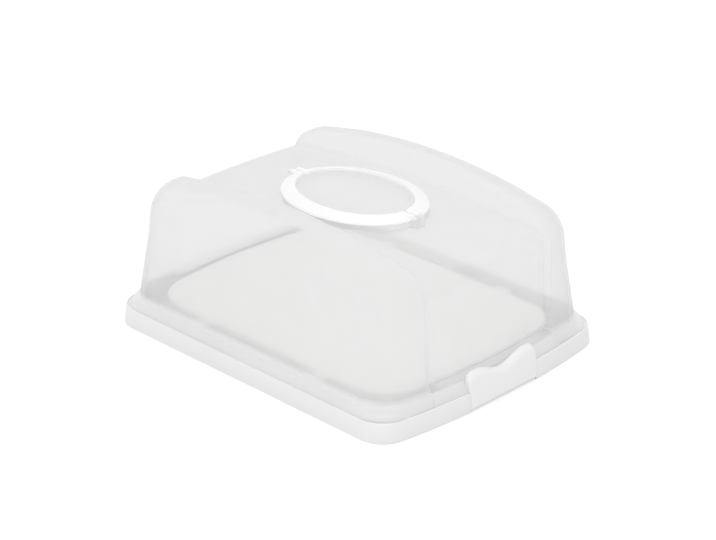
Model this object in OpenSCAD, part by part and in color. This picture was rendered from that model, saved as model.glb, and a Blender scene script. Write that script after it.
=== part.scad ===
// Rectangular cake and muffin carrier: white tray, lift-out serving insert, frosted dome lid
// hinged at one short end, a swing clip at the other, and a two-piece oval carrying handle.
// X runs along the long side, Y across it and Z up. The origin is on the table, at the middle.

/* [Base tray] */
// Length of the tray over the middle of its bowed short ends
base_len = 430; // [400:1:470]
// Width of the tray over its straight long sides
base_wid = 334.4; // [310:0.2:370]
// Corner radius of the tray in plan
base_corner = 32; // [24:1:40]
// Radius of the bowed short ends in plan
end_r = 939; // [800:1:1400]
// Height of the skirt, from the table to its top edge
skirt_h = 21.3; // [19:0.1:26]
// How far the skirt leans in between the table and its top edge
skirt_lean = 1.7; // [0.5:0.1:3]
// Wall thickness of the tray
tray_wall = 2.4; // [1.8:0.1:3]
// Width of the raised bead round the outside of the rim
bead_w = 2.4; // [1.6:0.1:3.2]
// How far the rim lies below the top of the bead
bead_h = 1.3; // [0.6:0.1:2]
// Width of the flat rim that the lid stands on
rim_w = 7.1; // [5:0.1:9]
// Height of the tray's floor above the table, to its underside
floor_z = 4; // [3:0.1:6]
// Depth of the ribs under the floor
rib_h = 2.6; // [1.5:0.1:3]
// Distance between the ribs under the floor
rib_pitch = 62; // [45:1:90]

/* [Serving insert] */
// Length of the insert over the middle of its bowed ends
insert_len = 371.6; // [350:0.2:374]
// Width of the insert over its straight sides
insert_wid = 269.1; // [250:0.1:275]
// Corner radius of the insert in plan
insert_corner = 47; // [38:1:56]
// Radius of the insert's bowed ends in plan
insert_end_r = 580; // [500:1:900]
// Height of the serving surface above the table
insert_top = 31; // [28:0.1:34]
// Wall thickness of the insert
insert_wall = 2.2; // [1.6:0.1:3]
// Distance from the middle to each of the lifting tabs along the sides
tab_x = 86; // [60:1:120]
// Width of a lifting tab
tab_w = 19; // [12:1:26]
// Reach of the lifting tabs beyond the side of the insert
tab_reach = 13.5; // [8:0.5:13.5]
// Radius of the two free corners of a lifting tab
tab_corner = 4; // [2:0.5:6]

/* [Dome lid] */
// Wall thickness of the lid
lid_wall = 2; // [1.6:0.1:2.6]
// Height of the ridges at the middle of the lid, above the table
ridge_top = 178; // [168:0.5:190]
// Radius of the long arch along the ridges
arch_r = 745; // [650:5:1000]
// Radius of the shoulder at each end of the ridges
shoulder_r = 41; // [41:1:54]
// How far the end walls lean in between the foot and the shoulder
end_lean = 7.3; // [4:0.1:10]
// How far the side walls lean in between the foot and the top edge
side_lean = 10.5; // [6:0.1:12]
// Corner radius of the lid's walls in plan
dome_corner = 30; // [24:1:36]
// Radius that rounds the ridges over into the side walls
edge_r = 40; // [30:1:40]
// Height of the foot of the walls above the table
foot_z = 31; // [29:0.5:33]
// Half the width of the valley between the ridges
valley_half = 91; // [80:1:96]
// How far each side of the valley leans out from its floor to the top of the ridge
valley_lean = 9; // [4:0.5:12]
// Height of the valley floor at the middle of the lid
valley_top = 151; // [142:0.5:152]
// Radius of the long arch along the valley
valley_arch_r = 1945; // [1500:5:3000]
// Radius of the shoulder at each end of the valley
valley_shoulder_r = 18; // [12:1:30]
// How far the end walls of the valley stand back from those of the ridges
valley_setback = 7; // [4:0.5:8]
// Height of the shelf at the foot of the valley's end walls
shelf_z = 34; // [33.5:0.5:40]
// Depth of the locating lip that drops inside the tray's rim
lip_drop = 4.3; // [2:0.1:6]

/* [Handle] */
// Half the length of the oval ring, outside
ring_a = 88; // [80:1:96]
// Half the width of the oval ring, outside
ring_b = 67; // [60:1:76]
// Width of the ring's band
ring_band = 16; // [12:0.5:18]
// Height of the ring's inner edge above its underside
ring_rise = 6.1; // [5.6:0.1:6.4]
// Height of the ring's outer edge above its underside
ring_edge = 1.4; // [1.2:0.1:3]
// Height of the oval pedestal under the ring, above the table
pedestal_top = 156; // [153:0.5:160]
// Depth of the lid's raised oval plate below the ring's inner edge
plate_drop = 1.9; // [1.2:0.1:3]
// Distance from the middle of the lid to each half's pivot line
pivot_y = 3.9; // [3.8:0.1:8]
// Radius of the round knuckle at each end of a half
knuckle_r = 2.9; // [2.8:0.1:3.6]
// Radius of the pivot stubs
stub_r = 1.5; // [1.2:0.05:1.8]
// Length of the pivot stubs
stub_len = 4; // [4:0.5:9]

/* [End clip] */
// Width of the clip
clip_w = 100; // [80:1:130]
// Height of the clip's two wings above the table
clip_top = 41; // [38:0.5:46]
// Depth of the finger scoop between the wings
scoop_depth = 9; // [5:0.5:11]
// Half the width of the scoop between the tips of the wings
scoop_half = 36; // [26:1:38]
// Thickness of the clip's head, from its face to the side towards the lid
clip_deep = 10.6; // [10:0.1:10.8]
// Wall thickness of the clip
clip_wall = 2.4; // [1.8:0.1:3]
// Height of the lower edge of the lip behind the clip's head
clip_lip_z = 25; // [23:0.5:29]
// Height of the clip's pivot above the table
clip_pivot_z = 5.3; // [5.2:0.1:6]
// Radius of the clip's barrel about its pivot
barrel_r = 3.2; // [2.8:0.1:3.4]
// Radius of the clip's pivot stubs
clip_stub_r = 1.8; // [1.4:0.05:2.2]
// Length of the clip's pivot stubs
clip_stub_len = 3.2; // [2:0.1:4]

/* [Lid hinge] */
// Height of the hinge line above the table
hinge_z = 24.5; // [24.4:0.1:26]
// Radius of the hinge knuckles
hinge_r = 3.2; // [3:0.1:3.4]
// Radius of the hinge pin
pin_r = 1.5; // [1.2:0.05:1.8]
// Half the width of the middle knuckle on the tray
mid_knuckle = 11.6; // [8:0.1:14]
// Width of each of the lid's two knuckles
lid_knuckle = 18; // [12:0.5:22]
// Width of each outer knuckle on the tray
outer_knuckle = 15.6; // [10:0.1:20]

/* [Clearances] */
// Gap between pieces that rest on or beside each other
gap = 0.3; // [0.2:0.05:0.5]
// Radial clearance of a pivot in its bore
run_gap = 0.05; // [0.03:0.01:0.08]
// Gap at each side of the clip and of the hinge knuckles
side_gap = 0.5; // [0.3:0.05:0.8]

/* [Hidden] */

corner_steps = 8;
end_steps = 10;
arch_steps = 14;
shoulder_steps = 7;
oval_steps = 64;
eps = 0.01;
past = 1;
// Thickness of the slices that a blended form is drawn over
slice_t = 0.4;

// Tray levels and outlines, as insets from the outline on the table
rim_z = skirt_h - bead_h;
rim_inset = skirt_lean + bead_w;
well_inset = rim_inset + rim_w;
well_corner = dome_corner + side_gap;
floor_top = floor_z + tray_wall;
end_x = base_len / 2;
side_y = base_wid / 2;
well_x = end_x - well_inset;

// Lid: the foot of its walls stands just inside the tray's well
foot_inset = well_inset + side_gap;
foot_x = end_x - foot_inset;
foot_y = side_y - foot_inset;
flange_inset = rim_inset + gap;
flange_bottom = rim_z + gap;
flange_edge_h = 2.2;
flange_mid_h = 6.7;
flange_mid_in = 2.3;
lip_z = flange_bottom - lip_drop;
// The lip is a touch thinner than the wall above it
lip_step = 0.1;
wall_x = foot_x - end_lean;
wall_y = foot_y - side_lean;

// Handle: the halves lie on the pedestal and turn about stubs in two pairs of ears
ring_z = pedestal_top + gap + eps;
pivot_z = ring_z + knuckle_r;
pedestal_in = 2;
pedestal_a = ring_a - pedestal_in;
pedestal_b = ring_b - pedestal_in;
// The plate fills the ring, with a groove all round
plate_groove = 1.5;
plate_a = ring_a - ring_band - plate_groove;
plate_b = ring_b - ring_band - plate_groove;
plate_z = ring_z + ring_rise - plate_drop;
knuckle_past = 1.3;
knuckle_end = ring_a + knuckle_past;
ear_x = knuckle_end + side_gap;
ear_t = stub_len;
ear_half = pivot_y + knuckle_r;

// Clip: its pivot lies behind the bowed face, and its wings clear the lid
barrel_tuck = 0.3;
clip_pivot_x = end_x - clip_pivot_z + barrel_tuck;
clip_back = end_x - clip_deep;
pocket_half = clip_w / 2 + side_gap;
pocket_x = well_x + tray_wall * 2 / 3;
cheek_cover = 0.4;
cheek_t = clip_stub_len + side_gap + cheek_cover;
clip_face_t = clip_wall + 1.4;
// The clip's hidden corners are cut back in plan, to stand clear of the ends of the flange
corner_cut_x = 4.8;
corner_cut_y = 3.6;
clip_end_wall = 1.5 * clip_wall;
wing_corner = 8;
barrel_swing = clip_pivot_x - pocket_x - gap;

// Hinge: its line lies just inside the bowed end, above the rim
hinge_x = -(end_x - skirt_lean - hinge_r);
lid_knuckle_y = mid_knuckle + side_gap;
outer_knuckle_y = lid_knuckle_y + lid_knuckle + side_gap;
hinge_half = outer_knuckle_y + outer_knuckle;

// Points along an arc of n steps, from step first on
function arc(cx, cy, r, a0, a1, n, first = 0) =
    [for (i = [first:n]) let (a = a0 + (a1 - a0) * i / n) [cx + r * cos(a), cy + r * sin(a)]];

// A rounded rectangle whose short ends are shallow arcs of radius big
function bowed(len, wid, r, big) =
    let (mid = len / 2 - big,
         cy = wid / 2 - r,
         cx = mid + sqrt(pow(big - r, 2) - cy * cy),
         t = asin(cy / (big - r)))
    concat(arc(mid, 0, big, -t, t, end_steps),
           arc(cx, cy, r, t, 90, corner_steps, 1),
           arc(-cx, cy, r, 90, 180 - t, corner_steps),
           arc(-mid, 0, big, 180 - t, 180 + t, end_steps, 1),
           arc(-cx, -cy, r, 180 + t, 270, corner_steps, 1),
           [for (p = arc(cx, -cy, r, 270, 360 - t, corner_steps)) if (p[0] < cx + r * cos(t) - eps) p]);

// An oval with half-lengths a and b
function oval(a, b) = [for (i = [0:oval_steps - 1]) let (t = 360 * i / oval_steps) [a * cos(t), b * sin(t)]];

// An arched profile of the given half-length: a long arch with a round shoulder at each end
function arch_profile(half, top, big, r) =
    let (cx = half - r,
         low = top - big,
         cz = low + sqrt(pow(big - r, 2) - cx * cx),
         t = asin(cx / (big - r)))
    concat(arc(cx, cz, r, 0, 90 - t, shoulder_steps),
           arc(0, low, big, 90 - t, 90 + t, arch_steps, 1),
           arc(-cx, cz, r, 90 + t, 180, shoulder_steps, 1));

module slab(points, z0, z1) {
    translate([0, 0, z0]) linear_extrude(z1 - z0) polygon(points);
}

module tray_slab(inset, z0, z1) {
    slab(bowed(base_len - 2 * inset, base_wid - 2 * inset, base_corner - inset, end_r), z0, z1);
}

module well_slab(outset, z0, z1) {
    slab(bowed(2 * (well_x + outset), 2 * (side_y - well_inset + outset), well_corner + outset, end_r),
         z0, z1);
}

// A block centred on y, with its lowest and highest corners given in x and z
module block(x0, x1, half_y, z0, z1, y = 0) {
    translate([x0, y - half_y, z0]) cube([x1 - x0, 2 * half_y, z1 - z0]);
}

// A cylinder along Y, and one along X
module rod_y(x, z, r, y0, y1) {
    translate([x, y0, z]) rotate([-90, 0, 0]) cylinder(h = y1 - y0, r = r, $fn = 48);
}

module rod_x(y, z, r, x0, x1) {
    translate([x0, y, z]) rotate([0, 90, 0]) cylinder(h = x1 - x0, r = r, $fn = 48);
}

// The leaning outer face of the skirt, carried up to the given height
module skirt_form(height, inset) {
    hull() {
        tray_slab(inset, 0, slice_t);
        tray_slab(inset + skirt_lean * height / skirt_h, height - slice_t, height);
    }
}

// ---- Base tray ----

module tray_body() {
    difference() {
        skirt_form(skirt_h, 0);
        tray_slab(rim_inset, rim_z, skirt_h + past);
        well_slab(0, floor_top, skirt_h + past);
        // hollow under the rim, left solid beside the clip and the hinge
        difference() {
            tray_slab(skirt_lean + tray_wall, -past, rim_z - tray_wall);
            well_slab(tray_wall, -2 * past, rim_z);
            block(0, end_x + past, pocket_half + cheek_t, -2 * past, rim_z);
            block(-end_x - past, 0, hinge_half, -2 * past, rim_z);
        }
        well_slab(0, -past, floor_z);
    }
}

module floor_ribs() {
    reach_x = well_x - base_corner;
    reach_y = side_y - well_inset;
    nx = floor(reach_x / rib_pitch);
    ny = floor((reach_y - base_corner) / rib_pitch);
    for (i = [-nx:nx])
        translate([i * rib_pitch - tray_wall / 2, -reach_y - eps, floor_z - rib_h])
            cube([tray_wall, 2 * (reach_y + eps), rib_h + eps]);
    for (j = [-ny:ny])
        translate([-well_x + base_corner / 2, j * rib_pitch - tray_wall / 2, floor_z - rib_h])
            cube([2 * well_x - base_corner, tray_wall, rib_h + eps]);
}

module tray_knuckle(y0, y1) {
    rod_y(hinge_x, hinge_z, hinge_r, y0, y1);
    translate([hinge_x - hinge_r, y0, rim_z - tray_wall])
        cube([2 * hinge_r, y1 - y0, hinge_z - rim_z + tray_wall]);
}

module base_tray() {
    color("whitesmoke") difference() {
        union() {
            tray_body();
            floor_ribs();
            tray_knuckle(-mid_knuckle, mid_knuckle);
            for (s = [-1, 1])
                translate([0, s * (outer_knuckle_y + outer_knuckle / 2), 0])
                    tray_knuckle(-outer_knuckle / 2, outer_knuckle / 2);
        }
        // pocket and pivot bores of the clip
        block(pocket_x, end_x + past, pocket_half, -past, skirt_h + past);
        rod_y(clip_pivot_x, clip_pivot_z, clip_stub_r + run_gap,
              -pocket_half - cheek_t - past, pocket_half + cheek_t + past);
        // room for the lid's knuckles, and the bore of the hinge pin
        for (s = [-1, 1])
            block(-end_x - past, hinge_x + hinge_r + side_gap, lid_knuckle / 2 + side_gap, rim_z,
                  hinge_z + hinge_r + past, s * (lid_knuckle_y + lid_knuckle / 2));
        rod_y(hinge_x, hinge_z, pin_r + run_gap, -hinge_half - past, hinge_half + past);
    }
}

// ---- Serving insert ----

module insert_slab(inset, z0, z1) {
    slab(bowed(insert_len - 2 * inset, insert_wid - 2 * inset, insert_corner - inset, insert_end_r), z0, z1);
}

// A lifting tab in plan, from inside the insert's wall to its two round free corners
function tab_outline() =
    let (w = tab_w / 2, far = insert_wid / 2 + tab_reach, r = tab_corner)
    concat([[-w, insert_wid / 2 - insert_wall], [w, insert_wid / 2 - insert_wall]],
           arc(w - r, far - r, r, 0, 90, corner_steps),
           arc(-w + r, far - r, r, 90, 180, corner_steps));

module lifting_tab(x) {
    for (turn = [0, 180])
        rotate([0, 0, turn]) translate([x, 0, 0])
            slab(tab_outline(), insert_top - 2.5 * insert_wall, insert_top - insert_wall);
}

module serving_insert() {
    edge = 1;
    color("ivory") {
        difference() {
            union() {
                insert_slab(0, floor_top + gap, insert_top - edge);
                insert_slab(edge / 2, insert_top - edge - eps, insert_top);
                lifting_tab(tab_x);
                lifting_tab(-tab_x);
            }
            insert_slab(insert_wall, floor_top - past, insert_top - insert_wall);
        }
    }
}

// ---- Dome lid ----

// How far a bowed end stands back from its middle at distance y
function bow(y) = end_r - sqrt(end_r * end_r - y * y);

// One upright slice of the ridged body at distance y from the middle line
module ridge_slice(y, drop, inset) {
    r = dome_corner - inset;
    side = wall_y - inset;
    near = max(0, abs(y) - (side - r));
    half = wall_x - inset - bow(y) - (r - sqrt(max(0, r * r - near * near)));
    translate([0, y + slice_t / 2, 0]) rotate([90, 0, 0]) linear_extrude(slice_t)
        polygon(arch_profile(half, ridge_top - inset - drop, arch_r - inset - drop,
                             shoulder_r - inset - drop));
}

// The body that both ridges are cut from, convex all over
module ridged_body(inset) {
    e = edge_r - inset;
    flat = wall_y - edge_r;
    hull() {
        foot_slab(inset, foot_z - slice_t, foot_z);
        for (s = [-1, 1])
            for (a = [0:22.5:90])
                ridge_slice(s * (flat + e * sin(a)), e - e * cos(a), inset);
    }
}

// What the valley leaves standing between the ridges, seen from the side
function valley_profile(inset) =
    concat([[foot_x + past, shelf_z - inset], [wall_x - valley_setback + 2 * past - inset, shelf_z - inset]],
           arch_profile(wall_x - valley_setback - inset, valley_top - inset, valley_arch_r - inset,
                        valley_shoulder_r - inset),
           [[-(wall_x - valley_setback + 2 * past - inset), shelf_z - inset],
            [-foot_x - past, shelf_z - inset],
            [-foot_x - past, foot_z - past],
            [foot_x + past, foot_z - past]]);

module dome_form(inset) {
    low = valley_half + inset;
    high = low + valley_lean;
    top = ridge_top + past;
    difference() {
        ridged_body(inset);
        difference() {
            translate([-end_x, 0, 0]) rotate([90, 0, 90]) linear_extrude(2 * end_x)
                polygon([[-low, foot_z + eps], [low, foot_z + eps], [low, valley_top], [high, top],
                         [-high, top], [-low, valley_top]]);
            translate([0, high + past, 0]) rotate([90, 0, 0])
                linear_extrude(2 * (high + past)) polygon(valley_profile(inset));
        }
    }
    slab(oval(pedestal_a - inset, pedestal_b - inset), valley_top - 3 * lid_wall, pedestal_top - inset);
    slab(oval(plate_a - inset, plate_b - inset), pedestal_top - 3 * lid_wall, plate_z - inset);
}

module foot_slab(inset, z0, z1) {
    slab(bowed(2 * (foot_x - inset), 2 * (foot_y - inset), dome_corner - inset, end_r), z0, z1);
}

// The flared flange between the foot of the walls and the rim
module flange_form(inset) {
    out = flange_inset + inset;
    hull() {
        tray_slab(out, flange_bottom - inset, flange_bottom + flange_edge_h - inset / 2);
        tray_slab(out + flange_mid_in, flange_bottom, flange_bottom + flange_mid_h - inset);
        foot_slab(inset, foot_z - inset - slice_t, foot_z - inset);
    }
}

module lid_shell() {
    difference() {
        union() {
            dome_form(0);
            flange_form(0);
            foot_slab(0, lip_z, foot_z);
        }
        dome_form(lid_wall);
        foot_slab(lid_wall - lip_step, lip_z - past, foot_z);
        // hollow under the flange, outside the lip
        difference() {
            flange_form(lid_wall);
            foot_slab(0, lip_z, foot_z);
        }
    }
}

// A pair of ears in one plate, with the pivot bores of both halves of the handle
module handle_ears() {
    base_z = valley_top - 3 * lid_wall;
    translate([ear_x, -ear_half, base_z]) cube([ear_t, 2 * ear_half, pivot_z - base_z]);
    for (s = [-1, 1])
        rod_x(s * pivot_y, pivot_z, knuckle_r, ear_x, ear_x + ear_t);
    translate([pedestal_a - past, -ear_half, base_z])
        cube([ear_x - pedestal_a + 2 * past, 2 * ear_half, pedestal_top - base_z]);
}

module lid_knuckles() {
    for (s = [-1, 1]) {
        mid = s * (lid_knuckle_y + lid_knuckle / 2);
        rod_y(hinge_x, hinge_z, hinge_r, mid - lid_knuckle / 2, mid + lid_knuckle / 2);
        block(hinge_x, -foot_x + lid_wall / 2, lid_knuckle / 2, hinge_z - lid_wall, hinge_z + lid_wall, mid);
    }
}

module dome_lid() {
    color("gainsboro", 0.6) difference() {
        union() {
            difference() {
                lid_shell();
                // the flange stops short of the clip and of the hinge
                block(foot_x, end_x, pocket_half + side_gap, flange_bottom - past, foot_z);
                block(-end_x, hinge_x + hinge_r + side_gap, hinge_half + side_gap, flange_bottom - past,
                      foot_z - lid_wall);
            }
            handle_ears();
            mirror([1, 0, 0]) handle_ears();
            lid_knuckles();
        }
        for (s = [-1, 1]) {
            rod_x(s * pivot_y, pivot_z, stub_r + run_gap, -ear_x - ear_t - past, -ear_x + past);
            rod_x(s * pivot_y, pivot_z, stub_r + run_gap, ear_x - past, ear_x + ear_t + past);
        }
        rod_y(hinge_x, hinge_z, pin_r + run_gap, -hinge_half - past, hinge_half + past);
    }
}

// ---- Handle ----

// The whole oval ring: a band that slopes down from its inner edge
module ring_form() {
    inner_a = ring_a - ring_band;
    inner_b = ring_b - ring_band;
    lip = 1;
    difference() {
        union() {
            slab(oval(ring_a, ring_b), ring_z, ring_z + ring_edge);
            translate([0, 0, ring_z + ring_edge])
                linear_extrude(ring_rise - ring_edge, scale = [(inner_a + lip) / ring_a, (inner_b + lip) / ring_b])
                    polygon(oval(ring_a, ring_b));
        }
        slab(oval(inner_a, inner_b), ring_z - past, ring_z + ring_rise + past);
    }
}

module handle_half() {
    inner_a = ring_a - ring_band;
    intersection() {
        ring_form();
        translate([-ring_a, -ring_b - past, ring_z - past])
            cube([2 * ring_a, ring_b + past - pivot_y, ring_rise + 2 * past]);
    }
    rod_x(-pivot_y, pivot_z, knuckle_r, inner_a, knuckle_end);
    rod_x(-pivot_y, pivot_z, knuckle_r, -knuckle_end, -inner_a);
    rod_x(-pivot_y, pivot_z, stub_r, knuckle_end - past, ear_x + stub_len);
    rod_x(-pivot_y, pivot_z, stub_r, -ear_x - stub_len, -knuckle_end + past);
}

module handle_front() {
    color("white") handle_half();
}

module handle_rear() {
    color("white") mirror([0, 1, 0]) handle_half();
}

// ---- End clip ----

// Height of the clip's top edge at distance y from its middle
function clip_edge(y) =
    abs(y) < scoop_half ? clip_top - scoop_depth * (1 + cos(180 * y / scoop_half)) / 2 : clip_top;

// The clip seen from the end, shrunk by inset
function clip_front(inset) =
    let (w = clip_w / 2 - inset, r = wing_corner - inset, top = clip_top - inset, n = 24)
    concat([[-w, clip_pivot_z], [w, clip_pivot_z]],
           arc(w - r, top - r, r, 0, 90, corner_steps),
           [for (i = [0:n]) let (y = scoop_half * (1 - 2 * i / n)) [y, clip_edge(y) - inset]],
           arc(-w + r, top - r, r, 90, 180, corner_steps));

module clip_head(inset) {
    intersection() {
        translate([clip_back + inset, 0, 0]) rotate([90, 0, 90])
            linear_extrude(clip_deep + past) polygon(clip_front(inset));
        skirt_form(clip_top + past, inset);
    }
}

// What is cut off one hidden corner of the clip, above its barrel
module clip_corner_cut() {
    side = clip_w / 2;
    low_x = clip_back - corner_cut_x / 2;
    high_y = side + corner_cut_y / 2;
    slab([[low_x, side - 1.5 * corner_cut_y], [clip_back + 1.5 * corner_cut_x, high_y], [low_x, high_y]],
         clip_pivot_z + barrel_r, clip_top + past);
}

module end_clip() {
    color("white") {
        difference() {
            union() {
                clip_head(0);
                rod_y(clip_pivot_x, clip_pivot_z, barrel_r, -clip_w / 2, clip_w / 2);
                intersection() {
                    skirt_form(clip_pivot_z + past, 0);
                    rod_y(clip_pivot_x, clip_pivot_z, barrel_swing, -clip_w / 2, clip_w / 2);
                    block(clip_pivot_x, end_x + past, clip_w / 2, 0, clip_pivot_z);
                }
            }
            // hollow behind the face and under the head, open below
            intersection() {
                clip_head(clip_wall);
                block(clip_back, end_x, clip_w / 2 - clip_end_wall, clip_pivot_z + barrel_r + clip_wall, clip_top);
            }
            for (turn = [0, 1])
                mirror([0, turn, 0]) clip_corner_cut();
            // nothing hangs below the lip on the side towards the lid
            block(clip_back - past, clip_pivot_x - barrel_r + gap, clip_w / 2 + past, 0, clip_lip_z);
            block(clip_back - past, end_x - clip_face_t, clip_w / 2 - clip_wall, clip_pivot_z + barrel_r, clip_lip_z);
        }
        rod_y(clip_pivot_x, clip_pivot_z, clip_stub_r, -pocket_half - clip_stub_len, pocket_half + clip_stub_len);
    }
}

// ---- Hinge pin ----

module hinge_pin() {
    color("lightgray") rod_y(hinge_x, hinge_z, pin_r, -hinge_half + gap, hinge_half - gap);
}

base_tray();
serving_insert();
dome_lid();
handle_front();
handle_rear();
end_clip();
hinge_pin();
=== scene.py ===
"""A rectangular cake carrier: tray, lift-out insert, frosted domed lid, clip and folding handle.

Every length is in metres, and every place is in the frame's own axes: X along the long side
towards the clip, Y across, Z up, with the origin on the table under the middle of the tray.
"""

import logging
import math
from dataclasses import dataclass
from enum import Enum
from typing import Callable, Iterable, Sequence

import bmesh
import bpy
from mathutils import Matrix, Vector


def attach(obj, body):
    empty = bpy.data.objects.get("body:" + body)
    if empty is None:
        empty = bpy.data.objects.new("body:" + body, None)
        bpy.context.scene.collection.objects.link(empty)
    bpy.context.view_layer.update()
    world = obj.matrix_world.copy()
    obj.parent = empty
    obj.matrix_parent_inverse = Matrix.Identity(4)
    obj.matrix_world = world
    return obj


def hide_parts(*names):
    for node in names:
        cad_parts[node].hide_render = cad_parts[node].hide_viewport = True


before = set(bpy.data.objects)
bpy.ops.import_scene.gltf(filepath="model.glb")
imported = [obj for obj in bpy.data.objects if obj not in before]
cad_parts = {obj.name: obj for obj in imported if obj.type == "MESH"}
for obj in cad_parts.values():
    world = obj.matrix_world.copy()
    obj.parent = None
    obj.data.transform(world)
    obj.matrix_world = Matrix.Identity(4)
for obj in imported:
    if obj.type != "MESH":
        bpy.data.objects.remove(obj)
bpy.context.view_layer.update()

LOG = logging.getLogger("carrier")
MM = 0.001
WHITE = (1.0, 1.0, 1.0, 1.0)
CLOUDS = (0.3, 0.7)  # The part of a noise's range that shows as clouds.

Point = tuple[float, float, float]
Step = tuple[float, float]
Rule = Callable[[Vector], Vector]


class Axis(Enum):
    """The three directions of the frame."""

    X = (1.0, 0.0, 0.0)
    Y = (0.0, 1.0, 0.0)
    Z = (0.0, 0.0, 1.0)


class Cut(Enum):
    """What one solid does to another."""

    AWAY = "DIFFERENCE"
    JOIN = "UNION"


# ---- Outlines ----


def arc(
    cx: float, cy: float, r: float, start: float, end: float, steps: int, first: int = 0
) -> list[Step]:
    """Points along an arc.

    Args:
        cx: First coordinate of the centre.
        cy: Second coordinate of the centre.
        r: Radius.
        start: Angle of the first point, in degrees.
        end: Angle of the last point, in degrees.
        steps: Number of steps.
        first: The step to start from.

    Returns:
        The points in order.
    """
    turn = [math.radians(start + (end - start) * i / steps) for i in range(first, steps + 1)]
    return [(cx + r * math.cos(a), cy + r * math.sin(a)) for a in turn]


def sagitta(radius: float, reach: float) -> float:
    """How far an arc has come away from its top at a reach from the middle."""
    return radius - math.sqrt(radius**2 - reach**2)


def ease(value: float, low: float, high: float) -> float:
    """A soft step from 0 at low to 1 at high."""
    share = min(1.0, max(0.0, (value - low) / (high - low)))
    return share * share * (3 - 2 * share)


def oval(a: float, b: float, steps: int = 96) -> list[Step]:
    """Points round an oval with half-lengths a and b."""
    turn = [2 * math.pi * i / steps for i in range(steps)]
    return [(a * math.cos(t), b * math.sin(t)) for t in turn]


@dataclass(frozen=True)
class BowedRectangle:
    """A rounded rectangle whose short ends are shallow arcs."""

    length: float
    width: float
    corner: float
    end_radius: float
    corner_steps: int = 12
    end_steps: int = 16

    def points(self, inset: float = 0.0) -> list[Step]:
        """The outline, counter-clockwise.

        Args:
            inset: How far inside the rectangle the outline lies.

        Returns:
            Its points, from the lower corner of the right-hand end.
        """
        r = self.corner - inset
        big = self.end_radius
        mid = self.length / 2 - inset - big
        cy = self.width / 2 - inset - r
        cx = mid + math.sqrt((big - r) ** 2 - cy**2)
        t = math.degrees(math.asin(cy / (big - r)))
        right = arc(mid, 0, big, -t, t, self.end_steps)
        right += arc(cx, cy, r, t, 90, self.corner_steps, 1)
        top_left = arc(-cx, cy, r, 90, 180 - t, self.corner_steps)
        left = arc(-mid, 0, big, 180 - t, 180 + t, self.end_steps, 1)
        low_left = arc(-cx, -cy, r, 180 + t, 270, self.corner_steps, 1)
        low_right = arc(cx, -cy, r, 270, 360 - t, self.corner_steps)[:-1]
        return right + top_left + left + low_left + low_right


def rounding(r: float, start: float, end: float, steps: int = 4) -> list[Step]:
    """Inset steps that follow a round edge.

    Args:
        r: Radius of the edge.
        start: Angle at which the edge starts, where 0 is an upright wall and 90 a level top.
        end: Angle at which it ends.
        steps: Number of steps.

    Returns:
        How far each step goes in, and how far it rises.
    """
    turn = [math.radians(start + (end - start) * i / steps) for i in range(steps + 1)]
    pairs = zip(turn, turn[1:])
    return [(r * (math.cos(a) - math.cos(b)), r * (math.sin(b) - math.sin(a))) for a, b in pairs]


# ---- The bench: edit-mode steps on one mesh ----


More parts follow.
